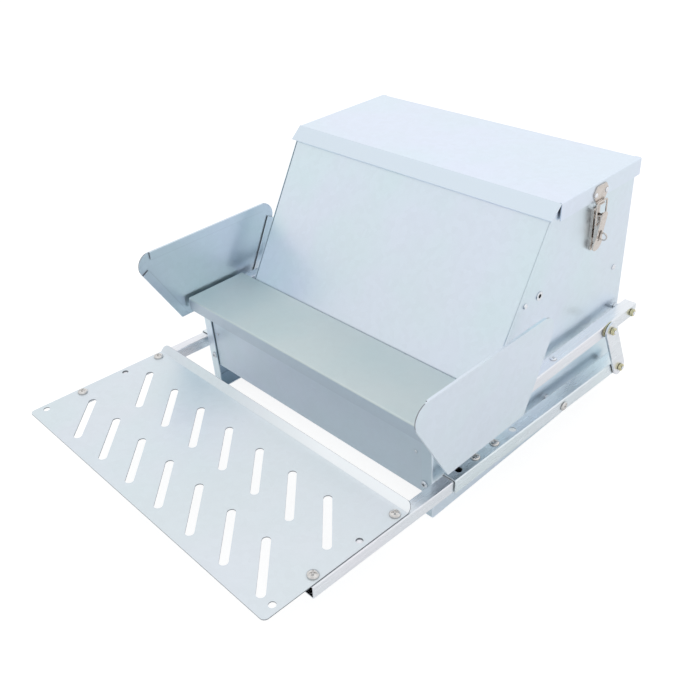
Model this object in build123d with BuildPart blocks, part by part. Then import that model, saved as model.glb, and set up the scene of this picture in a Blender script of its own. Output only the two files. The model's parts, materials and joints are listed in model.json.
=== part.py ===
from build123d import *
import os
from math import atan2, cos, degrees, radians, sin

# Treadle chicken feeder in galvanised sheet. Millimetres. X runs across the feeder, -Y is the
# treadle side, +Z is up, and z = 0 is the floor under the middle of the footprint.

os.makedirs("parts", exist_ok=True)

# ---- driving dimensions ----
T = 1.2                 # sheet thickness
BEND = 2.0              # outside radius of a folded corner
GAP = 0.3               # clearance between bodies that move past each other
FIT = 0.05              # radial clearance round a fixed screw, bolt or rivet
RUN = 0.08              # radial clearance round a turning pin or bolt

HALF_LENGTH = 298.0     # half of the overall length along Y
HEIGHT = 298.0          # top of the lid
SIDES = (("left", -1), ("right", 1))

# housing: hopper and trough between two side panels
SIDE_X = 197.0          # outer face of a side panel
SIDE_IN = SIDE_X - T
REAR_Y = 293.0          # rear face of the hopper
FRONT_Y = -55.6         # front face of the trough's corner flanges
RIM_Z = 116.4           # upper edge of the trough sides
SLOPE_Y = 32.9          # where the sloped hopper front meets the trough rim
SLOPE = 0.589           # how far the hopper front leans back per unit of height
SLOPE_TOP = 284.0       # upper edge of the sloped front
SIDE_TOP = 295.0
FOOT = 28.0             # width of the foot flange on the floor
CORNER_FLANGE = 15.0    # width of the corner flange beside the trough front
FLOOR_Z = 26.7          # underside of the trough front panel
SEAM = 16.0             # depth of the riveted flanges on the hopper front
REAR_SEAM = 30.0        # depth of the riveted flanges on the rear panel

# lid
LID_X = 200.0
LID_FRONT_Y = 141.5     # front edge of the flat top
LID_FLANGE = 20.0
LID_NOSE_Y = 125.4      # lower edge of the sloped front flange
LID_NOSE_Z = 284.2

# treadle, in a plane tilted up towards the front
TILT = 2.555
TREAD_FRONT_Z = 74.0
TREAD_X = 217.3
TREAD_LENGTH = 183.2
TREAD_LIP_BACK = 7.5    # the rear lip leans back as it rises
TREAD_LIP_UP = 7.7
ARM_X = 211.8           # middle of the arms and of the lifting levers
TUBE = 15.0
TUBE_START = 55.0       # distances along the treadle plane from its front edge
TUBE_END = 345.0
SLEEVE_START = 251.0
SLEEVE_END = 577.0
PIVOT_AT = 447.9        # lower pivot, along the treadle plane
LINK_AT = 566.0         # link bolt behind the lower pivot
SCREWS_AT = (64.5, 173.0)
JOINT_BOLTS_AT = (295.0, 328.0)
SPARE_HOLES_AT = (267.0, 361.0)

# cover over the trough, with wings and lifting levers
COVER_TOP = 117.9
COVER_FRONT = -57.5
COVER_REAR = 31.7
COVER_LIP = 17.5
COVER_SIDE_LIP = 12.0
COVER_X = 222.8         # outer face of the cover's turned down sides
WING_IN = 228.0         # inner face of a wing, which stands clear of the cover's side
WING_TOP = 200.0
WING_BOTTOM = 92.0
HEM = 10.0
LEVER = 16.0
LEVER_FRONT = -50.0
LEVER_REAR = 297.0
UPPER_Y, UPPER_Z = 286.5, 108.7      # fixed pivot of the levers
LIFT_Y, LIFT_Z = 235.5, 108.7        # link bolt on the levers

# link
LINK_IN = 222.4
LINK_T = 2.5
LINK_R = 11.0
OPEN_HOLE_R = 4.2       # upper hole of the link, wide enough for the whole travel

# fasteners
BOLT_R = 2.5
BOLT_END = 0.8          # how far a bolt stands out of its nut
NUT_R = 4.7
NUT_H = 3.8
WASHER_R = 10.0
SPACER_R = 3.6
BOLT_HEAD_R = 4.2
BOLT_HEAD_H = 3.0
LOWER_HEAD_R = 5.4
SCREW_R = 2.2
HEAD_R = 4.2
RIVET_R = 1.6

# toggle latch
LATCH_Y = 216.0
LATCH_PLATE = 1.5
HANDLE_PIVOT = (203.7, 257.0)        # x and z
HANDLE_LOW = (201.1, 215.4)          # inner side of the handle's face at its lower end
HANDLE_LEAN = 0.134                  # how far the face leans out per unit of height
BAIL_PIVOT = (203.6, 250.0)
BAIL_HEIGHT = 25.6
BAIL_HALF = 9.5
WIRE_R = 1.0
STAPLE = (209.4, 235.0)              # x and z of the padlock hole
STAPLE_HOLE_R = 3.4

SHEET_ARM = T + TUBE / 2             # from the treadle's top face to the arm's middle
SLEEVE_IN = ARM_X - TUBE / 2 - T     # the sleeve is tight on the tube inside and loose outside
SLEEVE_OUT = ARM_X + TUBE / 2 + T + 0.8
SLEEVE_RISE = 0.6                    # how far the sleeve's top stands above the treadle plane
PROFILE = Plane.YZ                   # sketches with Y to the right and Z up


def save(piece, name):
    """Label a finished sub-part and write it."""
    piece.part.label = name
    export_step(piece.part, f"parts/{name}.step")


# ---- frames and places ----
deck = Plane(
    origin=(0, -HALF_LENGTH, TREAD_FRONT_Z),
    x_dir=(1, 0, 0),
    z_dir=(0, sin(radians(TILT)), cos(radians(TILT))),
)
deck_side = Plane(origin=deck.origin, x_dir=deck.y_dir, z_dir=(1, 0, 0))


def on_deck(along, up=0.0):
    """Y and Z of a point along the treadle plane and above it."""
    point = deck.from_local_coords((0, along, up))
    return point.Y, point.Z


LOWER_Y, LOWER_Z = on_deck(PIVOT_AT, -SHEET_ARM)
PUSH_Y, PUSH_Z = on_deck(LINK_AT, -SHEET_ARM)


def slope_y(z):
    """Y of the sloped hopper front's outer face at a height."""
    return SLOPE_Y + SLOPE * (z - RIM_Z)


def across(x, s, y, z):
    """A plane facing outwards, away from the feeder's middle, on side s."""
    return Plane(origin=(s * x, y, z), x_dir=(0, s, 0), z_dir=(s, 0, 0))


# ---- small features added to the part being built ----
def cross_hole(s, x_from, x_to, y, z, radius):
    """A round hole along X between two distances from the middle."""
    with BuildSketch(across(x_from, s, y, z)) as hole:
        Circle(radius)
    extrude(hole.sketch, amount=x_to - x_from, mode=Mode.SUBTRACT)


def disc(plane, radius, height):
    with BuildSketch(plane) as section:
        Circle(radius)
    extrude(section.sketch, amount=height)


def hexagon(plane, radius, height, bore):
    with BuildSketch(plane) as section:
        RegularPolygon(radius, 6)
        Circle(bore, mode=Mode.SUBTRACT)
    extrude(section.sketch, amount=height)


def ring(plane, radius, height, bore):
    with BuildSketch(plane) as section:
        Circle(radius)
        Circle(bore, mode=Mode.SUBTRACT)
    extrude(section.sketch, amount=height)


def pan_head(plane, radius=HEAD_R, recess=True):
    """A rounded screw head with a cross recess, standing on a plane."""
    rim = radius * 0.22
    dome = radius * 0.3
    disc(plane, radius, rim)
    with BuildSketch(plane.offset(rim)) as crown:
        Circle(radius)
    extrude(crown.sketch, amount=dome, taper=38)
    if recess:
        with BuildSketch(plane.offset(rim + dome)) as cross:
            Rectangle(radius * 0.95, radius * 0.22)
            Rectangle(radius * 0.22, radius * 0.95)
        extrude(cross.sketch, amount=-dome, mode=Mode.SUBTRACT)


def screw(plane, length, shank=SCREW_R, head=HEAD_R):
    """A pan head screw whose head stands on a plane and whose shank goes below it."""
    pan_head(plane, head)
    disc(plane, shank, -length)


def rivet(plane, length, head=3.2, shank=RIVET_R):
    """A domed rivet without a recess."""
    pan_head(plane, head, recess=False)
    disc(plane, shank, -length)


def folded(plane, points, width, radius=BEND, side=Side.LEFT):
    """A sheet folded along a run of points, centred on the plane and as wide as given."""
    with BuildSketch(plane) as section:
        with BuildLine():
            fold = FilletPolyline(*points, radius=radius)
            offset(fold, amount=T, side=side)
        make_face()
    extrude(section.sketch, amount=width / 2, both=True)


# ---- housing ----
SIDE_RIVETS = ((270.8, 169.8), (93.0, 198.0))
EYELET = (118.0, 199.6)
FLANGE_SCREWS = ((186.0, 43.0),)
PANEL_RIVETS = ((173.0, 80.0),)
PANEL_RIVET_R = 1.1
TROUGH_FACE = FRONT_Y + T + 0.8      # the trough front stands a little behind the flanges
FOOT_REAR = REAR_Y - 4.0             # rear end of the foot flanges
LATCH_BASE_Z = (216.0, 268.0)
BASE_RIVETS_Z = (221.5, 247.0)


def make_side_panel(side, s):
    """One side of hopper and trough, with a corner flange in front and a foot on the floor."""
    with BuildPart() as panel:
        with BuildSketch(PROFILE.offset(s * SIDE_IN)):
            with BuildLine():
                Polyline(
                    (FRONT_Y, 0),
                    (REAR_Y, 0),
                    (REAR_Y, SIDE_TOP),
                    (LID_FRONT_Y + 4.5, SIDE_TOP),
                    (slope_y(SLOPE_TOP), SLOPE_TOP),
                    (SLOPE_Y, RIM_Z),
                    (FRONT_Y, RIM_Z),
                    close=True,
                )
            make_face()
        extrude(amount=s * T)
        # foot flange, turned in on the floor
        with BuildSketch(Plane.XY):
            with Locations((s * (SIDE_IN - (FOOT - T) / 2), (FRONT_Y + FOOT_REAR) / 2)):
                Rectangle(FOOT - T, FOOT_REAR - FRONT_Y)
        extrude(amount=T)
        # corner flange, turned in across the front
        with BuildSketch(Plane.XZ.offset(-FRONT_Y)):
            with Locations((s * (SIDE_X - CORNER_FLANGE / 2), RIM_Z / 2)):
                Rectangle(CORNER_FLANGE, RIM_Z)
        extrude(amount=-T)
        # folded corners
        corner = panel.edges().filter_by(Axis.Z).filter_by_position(Axis.Y, FRONT_Y, FRONT_Y)
        fillet(corner.sort_by(Axis.X)[-1 if s > 0 else 0], BEND * 0.9)
        for y, z in SIDE_RIVETS:
            cross_hole(s, SIDE_IN - 1, SIDE_X + 1, y, z, RIVET_R + FIT)
        cross_hole(s, SIDE_IN - 1, SIDE_X + 1, *EYELET, 3.0)
        cross_hole(s, SIDE_IN - 1, SIDE_X + 1, UPPER_Y, UPPER_Z, BOLT_R + FIT)
        cross_hole(s, SIDE_IN - 1, SIDE_X + 1, LOWER_Y, LOWER_Z, BOLT_R + FIT)
        for z in BASE_RIVETS_Z:
            cross_hole(s, SIDE_IN - 1, SIDE_X + 1, LATCH_Y, z, RIVET_R + FIT)
        for x, z in FLANGE_SCREWS:
            with BuildSketch(Plane.XZ.offset(-FRONT_Y)):
                with Locations((s * x, z)):
                    Circle(SCREW_R + FIT)
            extrude(amount=-2 * T, mode=Mode.SUBTRACT)
    save(panel, f"side_panel_{side}")


def make_hopper_front():
    """The sloped front sheet, which reaches down into the trough, with a seam flange each side."""
    bottom, top = 84.0, SLOPE_TOP
    lean = Vector(0, SLOPE, 1).normalized()
    foot = Vector(0, slope_y(bottom), bottom)
    across_sheet = Plane(origin=foot, x_dir=(1, 0, 0), z_dir=lean)
    length = (top - bottom) / lean.Z
    half = SIDE_IN - FIT
    with BuildPart() as front:
        with BuildSketch(across_sheet):
            with BuildLine():
                fold = FilletPolyline(
                    (-half, SEAM), (-half, 0), (half, 0), (half, SEAM), radius=BEND
                )
                offset(fold, amount=T, side=Side.LEFT)
            make_face()
        extrude(amount=length)
        for _, s in SIDES:
            y, z = SIDE_RIVETS[1]
            cross_hole(s, SIDE_IN - 3, SIDE_IN + 1, y, z, RIVET_R + FIT)
    save(front, "hopper_front")


def make_rear_panel():
    """The back sheet from the floor to the lid, with a seam flange each side."""
    half = SIDE_IN - FIT
    with BuildPart() as rear:
        with BuildSketch(Plane.XY):
            with BuildLine():
                fold = FilletPolyline(
                    (-half, REAR_Y - REAR_SEAM),
                    (-half, REAR_Y),
                    (half, REAR_Y),
                    (half, REAR_Y - REAR_SEAM),
                    radius=BEND,
                )
                offset(fold, amount=T, side=Side.RIGHT)
            make_face()
        extrude(amount=SIDE_TOP)
        # the flanges stop above the foot flanges
        for _, s in SIDES:
            with BuildSketch(Plane.XY):
                with Locations((s * (SIDE_IN - FOOT / 2), FOOT_REAR - REAR_SEAM / 2)):
                    Rectangle(FOOT + 2, REAR_SEAM)
            extrude(amount=T + FIT, mode=Mode.SUBTRACT)
            y, z = SIDE_RIVETS[0]
            cross_hole(s, SIDE_IN - 3, SIDE_IN + 1, y, z, RIVET_R + FIT)
            cross_hole(s, SIDE_IN - 3, SIDE_IN + 1, UPPER_Y, UPPER_Z, BOLT_R + FIT)
    save(rear, "rear_panel")


CHUTE_START = (100.0, FLOOR_Z + 3 * T)
CHUTE_END_Z = 136.0


def make_feed_chute():
    """The ramp inside that lets feed slide forward into the trough."""
    rear = REAR_Y - T - FIT
    with BuildPart() as chute:
        folded(
            PROFILE,
            ((60.0, CHUTE_START[1]), CHUTE_START, (rear, CHUTE_END_Z), (rear, CHUTE_END_Z + 14)),
            2 * (SIDE_IN - T - BEND),
        )
    save(chute, "feed_chute")


def make_trough_floor():
    """The flat floor under the trough and the foot of the chute."""
    front, rear = TROUGH_FACE + 2 * T, 140.0
    with BuildPart() as floor:
        with BuildSketch(Plane.XY.offset(FLOOR_Z + T)):
            with Locations((0, (front + rear) / 2)):
                Rectangle(2 * (SIDE_IN - FIT), rear - front)
        extrude(amount=T)
    save(floor, "trough_floor")


SAFE_EDGE = (8.0, 9.0)      # depth and height of the edge folded back along the trough front
LEDGE = 30.0                # depth of the trough front's ledge under the floor
TROUGH_TOP = 101.0


def make_trough_front():
    """The low front of the trough, with a folded safe edge on top and a ledge under the floor."""
    back, down = SAFE_EDGE
    with BuildPart() as front:
        folded(
            PROFILE,
            (
                (TROUGH_FACE + LEDGE, FLOOR_Z),
                (TROUGH_FACE, FLOOR_Z),
                (TROUGH_FACE, TROUGH_TOP),
                (TROUGH_FACE + back, TROUGH_TOP),
                (TROUGH_FACE + back, TROUGH_TOP - down),
            ),
            2 * (SIDE_IN - FIT),
            side=Side.RIGHT,
        )
        for places, radius in ((FLANGE_SCREWS, SCREW_R), (PANEL_RIVETS, PANEL_RIVET_R)):
            with BuildSketch(Plane.XZ.offset(-FRONT_Y)):
                with Locations(*((s * x, z) for _, s in SIDES for x, z in places)):
                    Circle(radius + FIT)
            extrude(amount=-4 * T, mode=Mode.SUBTRACT)
    save(front, "trough_front")


def front_plane(x, y, z):
    """A plane facing the treadle."""
    return Plane(origin=(x, y, z), x_dir=(1, 0, 0), z_dir=(0, -1, 0))


def make_trough_screws():
    """Screws through the corner flanges and small rivets in the trough front."""
    with BuildPart() as screws:
        for _, s in SIDES:
            for x, z in FLANGE_SCREWS:
                screw(front_plane(s * x, FRONT_Y, z), 3 * T)
            for x, z in PANEL_RIVETS:
                rivet(front_plane(s * x, TROUGH_FACE, z), 2 * T, head=1.8, shank=PANEL_RIVET_R)
    save(screws, "trough_screws")


def make_side_rivets(side, s):
    """Seam rivets and the eyelet in a side panel."""
    with BuildPart() as rivets:
        for y, z in SIDE_RIVETS:
            rivet(across(SIDE_X, s, y, z), 2 * T)
        plane = across(SIDE_X, s, *EYELET)
        ring(plane, 5.0, 1.0, 2.4)
        ring(plane, 3.0 - FIT, -T, 2.4)
    save(rivets, f"side_rivets_{side}")


def spacer_and_nut(s, y, z, end):
    """A short tube on a pivot bolt, from the side panel to the nut beside the lever or arm."""
    panel = across(SIDE_X, s, y, z)
    length = end - NUT_H - SIDE_X
    ring(panel, SPACER_R, length, BOLT_R + FIT)
    hexagon(panel.offset(length), NUT_R, NUT_H, BOLT_R + FIT)


def make_upper_pivot(side, s):
    """Fixed bolt that the lifting lever turns on, with its spacers and outer nut."""
    lever_in, lever_out = ARM_X - LEVER / 2, ARM_X + LEVER / 2
    seam_in = SIDE_IN - T - FIT
    with BuildPart() as bolt:
        inner = across(seam_in, s, UPPER_Y, UPPER_Z)
        disc(inner, BOLT_HEAD_R, -BOLT_HEAD_H)
        disc(inner, BOLT_R, lever_out + GAP + NUT_H + BOLT_END - seam_in)
    save(bolt, f"upper_pivot_bolt_{side}")
    with BuildPart() as spacers:
        spacer_and_nut(s, UPPER_Y, UPPER_Z, lever_in - GAP)
    save(spacers, f"upper_pivot_spacers_{side}")
    with BuildPart() as nut:
        hexagon(across(lever_out + GAP, s, UPPER_Y, UPPER_Z), NUT_R, NUT_H, BOLT_R + FIT)
    save(nut, f"upper_pivot_nut_{side}")


def make_lower_pivot(side, s):
    """Fixed bolt that the treadle arm turns on, with its nuts on the side panel."""
    with BuildPart() as bolt:
        outer = across(SLEEVE_OUT + GAP, s, LOWER_Y, LOWER_Z)
        pan_head(outer, LOWER_HEAD_R)
        disc(outer, BOLT_R, -(SLEEVE_OUT + GAP - SIDE_IN + NUT_H + BOLT_END))
    save(bolt, f"lower_pivot_bolt_{side}")
    with BuildPart() as nuts:
        spacer_and_nut(s, LOWER_Y, LOWER_Z, SLEEVE_IN - GAP)
        hexagon(across(SIDE_IN, s, LOWER_Y, LOWER_Z), NUT_R, -NUT_H, BOLT_R + FIT)
    save(nuts, f"lower_pivot_nuts_{side}")


# ---- lid ----
CATCH_RIVETS = ((-10.4, 284.8), (10.4, 284.8))     # along Y from the latch's middle, and z
CATCH_SHAPE = ((10.4, 285.2, 3.6), (7.0, 290.5, 3.5), (4.2, 275.4, 3.6))  # along, z, radius
CATCH_LEDGE_Z = 272.4
CATCH_LEDGE = (11.0, 3.8)            # width, and reach from the lid's flange


def make_lid():
    """Flat lid with a sloped nose in front and straight flanges on the sides and rear."""
    with BuildPart() as lid:
        folded(
            PROFILE,
            (
                (LID_NOSE_Y, LID_NOSE_Z),
                (LID_FRONT_Y, HEIGHT),
                (HALF_LENGTH, HEIGHT),
                (HALF_LENGTH, HEIGHT - LID_FLANGE),
            ),
            2 * LID_X - 2 * BEND,
            side=Side.RIGHT,
        )
        # the nose runs the full width, and the side flanges fold down behind it
        with BuildSketch(PROFILE):
            with BuildLine():
                fold = Polyline((LID_NOSE_Y, LID_NOSE_Z), (LID_FRONT_Y, HEIGHT))
                offset(fold, amount=T, side=Side.RIGHT)
            make_face()
        extrude(amount=LID_X, both=True)
        for _, s in SIDES:
            edge = LID_X - BEND
            with BuildSketch(Plane.XZ.offset(-LID_FRONT_Y - T)):
                with BuildLine():
                    fold = FilletPolyline(
                        (s * (edge - 6), HEIGHT),
                        (s * LID_X, HEIGHT),
                        (s * LID_X, HEIGHT - LID_FLANGE),
                        radius=BEND,
                    )
                    offset(fold, amount=T, side=Side.RIGHT if s > 0 else Side.LEFT)
                make_face()
            extrude(amount=-(HALF_LENGTH - LID_FRONT_Y - T))
            for along, z in CATCH_RIVETS:
                cross_hole(s, LID_X - 3, LID_X + 1, LATCH_Y + along, z, RIVET_R + FIT)
    save(lid, "lid_shell")


def make_catch(side, s):
    """The catch on a lid flange: a plate with a narrow ledge that the bail pulls down on."""
    width, reach = CATCH_LEDGE
    with BuildPart() as catch:
        with BuildSketch(across(LID_X, s, LATCH_Y, 0)):
            for along, z, radius in CATCH_SHAPE:
                with Locations((-along, z), (along, z)):
                    Circle(radius)
            make_hull()
        extrude(amount=T)
        with BuildSketch(across(LID_X, s, LATCH_Y, CATCH_LEDGE_Z)):
            Rectangle(width, T)
        extrude(amount=reach)
        for along, z in CATCH_RIVETS:
            cross_hole(s, LID_X - 3, LID_X + 3, LATCH_Y + along, z, RIVET_R + FIT)
    save(catch, f"catch_plate_{side}")
    with BuildPart() as rivets:
        for along, z in CATCH_RIVETS:
            rivet(across(LID_X + T, s, LATCH_Y + along, z), 2 * T, head=2.8)
    save(rivets, f"catch_rivets_{side}")


# ---- toggle latch ----
def xz_plane(y, s):
    """A plane across the feeder whose x axis points outwards on side s."""
    return Plane(origin=(0, y, 0), x_dir=(s, 0, 0), z_dir=(0, -s, 0))


EAR_R = 2.5
EARS = (2.9, 4.1)           # distance of an ear's two faces from the latch's middle
PIN_R = 1.6
PIN_HALF = 6.2
STAPLE_RING = 1.3           # width of the padlock ring's wire
STAPLE_THICK = 1.5


def make_latch_base(side, s):
    """Latch plate on the side panel, with two ears, their pins and a padlock staple."""
    low, high = LATCH_BASE_Z
    plate_out = SIDE_X + LATCH_PLATE
    hx, hz = HANDLE_PIVOT
    sx, sz = STAPLE
    ear_in, ear_out = EARS
    outer_r = STAPLE_HOLE_R + STAPLE_RING
    with BuildPart() as base:
        with BuildSketch(across(SIDE_X, s, LATCH_Y, (low + high) / 2)):
            RectangleRounded(2 * PIN_HALF, high - low, 3)
        extrude(amount=LATCH_PLATE)
        for ear in (-1, 1):
            with BuildSketch(xz_plane(LATCH_Y, s)):
                with Locations(((plate_out + hx) / 2, hz)):
                    Rectangle(hx - plate_out, 2 * EAR_R)
                with Locations((hx, hz)):
                    Circle(EAR_R)
            extrude(amount=ear_out * ear * s)
        # the space between the ears
        with BuildSketch(xz_plane(LATCH_Y, s)):
            with Locations((plate_out + 2 * EAR_R, hz)):
                Rectangle(4 * EAR_R, 3 * EAR_R)
        extrude(amount=ear_in, both=True, mode=Mode.SUBTRACT)
        # the ears' pins reach through the handle's cheeks
        with BuildSketch(xz_plane(LATCH_Y, s)):
            with Locations((hx, hz)):
                Circle(PIN_R)
        extrude(amount=PIN_HALF, both=True)
        # staple that stands out through the handle's slot
        with BuildSketch(xz_plane(LATCH_Y, s)):
            with Locations(((plate_out + sx) / 2, sz)):
                Rectangle(sx - plate_out, 2 * outer_r)
            with Locations((sx, sz)):
                Circle(outer_r)
                Circle(STAPLE_HOLE_R, mode=Mode.SUBTRACT)
        extrude(amount=STAPLE_THICK / 2, both=True)
        for z in BASE_RIVETS_Z:
            cross_hole(s, SIDE_X - 1, plate_out + 1, LATCH_Y, z, RIVET_R + FIT)
    save(base, f"latch_base_{side}")
    with BuildPart() as rivets:
        for z in BASE_RIVETS_Z:
            rivet(across(plate_out, s, LATCH_Y, z), LATCH_PLATE + T, head=2.4)
    save(rivets, f"latch_rivets_{side}")


def handle_x(z):
    """Distance from the middle of the handle's inner face at a height."""
    low_x, low_z = HANDLE_LOW
    return low_x + HANDLE_LEAN * (z - low_z)


CHEEKS = (4.4, 5.6)         # distance of a cheek's two faces from the latch's middle
CHEEK_BACK = 200.6          # inner edge of the cheeks, beside the latch plate
CHEEK_LOW = 226.0           # lower end of the cheeks
CHEEK_TOP = 260.0
CHEEK_WEB = 0.4             # how far a cheek goes into the face
CHEEK_CUT = 2.0             # size of the cheeks' cut corner at the top
FACE_SHAPE = ((258.4, 6.2), (232.0, 6.2), (224.0, 8.5))     # height and radius, top to bottom
HANDLE_SLOT = (228.0, 242.0, 4.0)    # lower and upper end, and width


def make_latch_handle(side, s):
    """Handle: two cheeks on the ears and a leaning, rounded face with a slot for the staple."""
    low_x, low_z = HANDLE_LOW
    slot_low, slot_high, slot_width = HANDLE_SLOT
    cheek_in, cheek_out = CHEEKS
    stretch = (1 + HANDLE_LEAN**2) ** 0.5          # length along the face per unit of height
    lean = Vector(s, 0, -HANDLE_LEAN).normalized()
    face = Plane(origin=(s * low_x, LATCH_Y, low_z), x_dir=(0, s, 0), z_dir=lean)
    with BuildPart() as handle:
        for cheek in (-1, 1):
            with BuildSketch(xz_plane(LATCH_Y + cheek * cheek_in, s)):
                with BuildLine():
                    Polyline(
                        (CHEEK_BACK, CHEEK_LOW + 2 * CHEEK_CUT),
                        (CHEEK_BACK, CHEEK_TOP - CHEEK_CUT),
                        (CHEEK_BACK + CHEEK_CUT, CHEEK_TOP),
                        (handle_x(CHEEK_TOP) + CHEEK_WEB, CHEEK_TOP),
                        (handle_x(CHEEK_LOW) + CHEEK_WEB, CHEEK_LOW),
                        close=True,
                    )
                make_face()
            extrude(amount=-cheek * s * (cheek_out - cheek_in))
        for ends in (FACE_SHAPE[:2], FACE_SHAPE[1:]):
            with BuildSketch(face):
                for z, radius in ends:
                    with Locations((0, (z - low_z) * stretch)):
                        Circle(radius)
                make_hull()
            extrude(amount=T)
        with BuildSketch(face):
            with Locations((0, ((slot_low + slot_high) / 2 - low_z) * stretch)):
                SlotOverall((slot_high - slot_low) * stretch, slot_width, rotation=90)
        extrude(amount=T, mode=Mode.SUBTRACT)
        cross_along(s, *HANDLE_PIVOT, PIN_R + RUN)
        cross_along(s, *BAIL_PIVOT, WIRE_R + RUN)
    save(handle, f"latch_handle_{side}")


def cross_along(s, x, z, radius):
    """A round hole along Y through the handle's cheeks."""
    with BuildSketch(xz_plane(LATCH_Y, s)) as hole:
        with Locations((x, z)):
            Circle(radius)
    extrude(hole.sketch, amount=2 * PIN_HALF, both=True, mode=Mode.SUBTRACT)


def make_bail(side, s):
    """Closed wire loop that pulls the catch down."""
    bx, bz = BAIL_PIVOT
    plane = across(bx, s, LATCH_Y, bz)
    with BuildPart() as bail:
        with BuildLine(plane) as loop:
            FilletPolyline(
                (-BAIL_HALF, 0),
                (BAIL_HALF, 0),
                (BAIL_HALF, BAIL_HEIGHT),
                (-BAIL_HALF, BAIL_HEIGHT),
                close=True,
                radius=2.0,
            )
        path = loop.wires()[0]
        with BuildSketch(Plane(origin=path @ 0, z_dir=path % 0)):
            Circle(WIRE_R)
        sweep(path=path)
    save(bail, f"latch_bail_{side}")


# ---- treadle ----
SLOT_COUNT = 7
SLOT_PITCH = 54.5
SLOT_FIRST_X = -158.8
SLOT_SHIFT = 54.0       # how far a slot leans sideways from end to end
SLOT_RISE = 51.5
SLOT_ROWS = (40.0, 120.2)
SLOT_WIDTH = 9.2
DECK_CORNER_R = 5.5
LIP_CORNER_R = 8.0
CORNER_HOLES = ((209.0, 123.7), (208.4, 16.8))      # x, and along the plate
CORNER_HOLE_R = 3.8
DECK_SCREW_X = 208.8
SPARE_HOLE_R = 4.2


def make_treadle_plate():
    """The step plate with two rows of leaning slots and a raised rear lip."""
    with BuildPart() as plate:
        folded(
            deck_side,
            ((0, -T), (TREAD_LENGTH, -T), (TREAD_LENGTH + TREAD_LIP_BACK, TREAD_LIP_UP)),
            2 * TREAD_X,
            radius=BEND + 0.6,
        )
        corners = plate.edges().filter_by(lambda e: abs(e.length - T) < 0.01)
        fillet(corners.sort_by(Axis.Y)[0:2], DECK_CORNER_R)
        corners = plate.edges().filter_by(lambda e: abs(e.length - T) < 0.01)
        fillet(corners.sort_by(Axis.Z)[-2:], LIP_CORNER_R)
        with BuildSketch(deck):
            lean = degrees(atan2(SLOT_RISE, -SLOT_SHIFT))
            length = (SLOT_RISE**2 + SLOT_SHIFT**2) ** 0.5
            for row in SLOT_ROWS:
                for column in range(SLOT_COUNT):
                    with Locations((SLOT_FIRST_X + column * SLOT_PITCH, row)):
                        SlotOverall(length, SLOT_WIDTH, rotation=lean)
            for _, s in SIDES:
                with Locations(*((s * x, along) for x, along in CORNER_HOLES)):
                    Circle(CORNER_HOLE_R)
                with Locations(*((s * DECK_SCREW_X, along) for along in SCREWS_AT)):
                    Circle(SCREW_R + FIT)
        extrude(amount=-3 * T, mode=Mode.SUBTRACT)
    save(plate, "treadle_plate")


def arm_holes(places, radius):
    """Round holes down through a wall of an arm, given as x and distance along the plate."""
    with BuildSketch(deck.offset(SLEEVE_RISE)) as holes:
        with Locations(*places):
            Circle(radius)
    extrude(holes.sketch, amount=-(SLEEVE_RISE + 2 * T + 1), mode=Mode.SUBTRACT)


def make_arm(side, s):
    """Front square tube under the plate, and the folded sleeve that carries it on the pivot."""
    spare = [(s * ARM_X, along) for along in SPARE_HOLES_AT]
    joint = [(s * ARM_X, along) for along in JOINT_BOLTS_AT]
    with BuildPart() as tube:
        section = Plane(
            origin=deck.from_local_coords((s * ARM_X, TUBE_START, -SHEET_ARM)),
            x_dir=(1, 0, 0),
            z_dir=deck.y_dir,
        )
        with BuildSketch(section):
            RectangleRounded(TUBE, TUBE, 1.6)
            Rectangle(TUBE - 2 * T, TUBE - 2 * T, mode=Mode.SUBTRACT)
        extrude(amount=TUBE_END - TUBE_START)
        arm_holes([*joint, *((s * DECK_SCREW_X, along) for along in SCREWS_AT)], SCREW_R + FIT)
        arm_holes(spare[:1], SPARE_HOLE_R)
    save(tube, f"arm_tube_{side}")

    with BuildPart() as sleeve:
        low = -T - TUBE
        section = Plane(
            origin=deck.from_local_coords((0, SLEEVE_START, 0)),
            x_dir=(-1, 0, 0),
            z_dir=deck.y_dir,
        )
        inner, outer = sorted((-s * SLEEVE_IN, -s * SLEEVE_OUT))
        with BuildSketch(section):
            with BuildLine():
                fold = FilletPolyline(
                    (inner, low), (inner, SLEEVE_RISE), (outer, SLEEVE_RISE), (outer, low), radius=BEND
                )
                offset(fold, amount=T, side=Side.RIGHT)
            make_face()
        extrude(amount=SLEEVE_END - SLEEVE_START)
        arm_holes(joint, SCREW_R + FIT)
        arm_holes(spare, SPARE_HOLE_R)
        cross_hole(s, SLEEVE_IN - 1, SLEEVE_OUT + 1, LOWER_Y, LOWER_Z, BOLT_R + RUN)
        cross_hole(s, SLEEVE_IN - 1, SLEEVE_OUT + 1, PUSH_Y, PUSH_Z, BOLT_R + FIT)
    save(sleeve, f"arm_sleeve_{side}")


def deck_screw(x, along, up, head):
    """A pan head screw that stands on the treadle plane or above it."""
    at = deck.from_local_coords((x, along, up))
    screw(Plane(origin=at, x_dir=(1, 0, 0), z_dir=deck.z_dir), 6.0, head=head)


def make_plate_screws():
    """Pan head screws that hold the plate on the arm tubes."""
    with BuildPart() as screws:
        for _, s in SIDES:
            for along in SCREWS_AT:
                deck_screw(s * DECK_SCREW_X, along, 0, 6.0)
    save(screws, "plate_screws")


def make_joint_bolts(side, s):
    """Bolts through sleeve and tube, one arm."""
    with BuildPart() as bolts:
        for along in JOINT_BOLTS_AT:
            deck_screw(s * ARM_X, along, SLEEVE_RISE, 5.3)
    save(bolts, f"arm_bolts_{side}")


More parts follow.
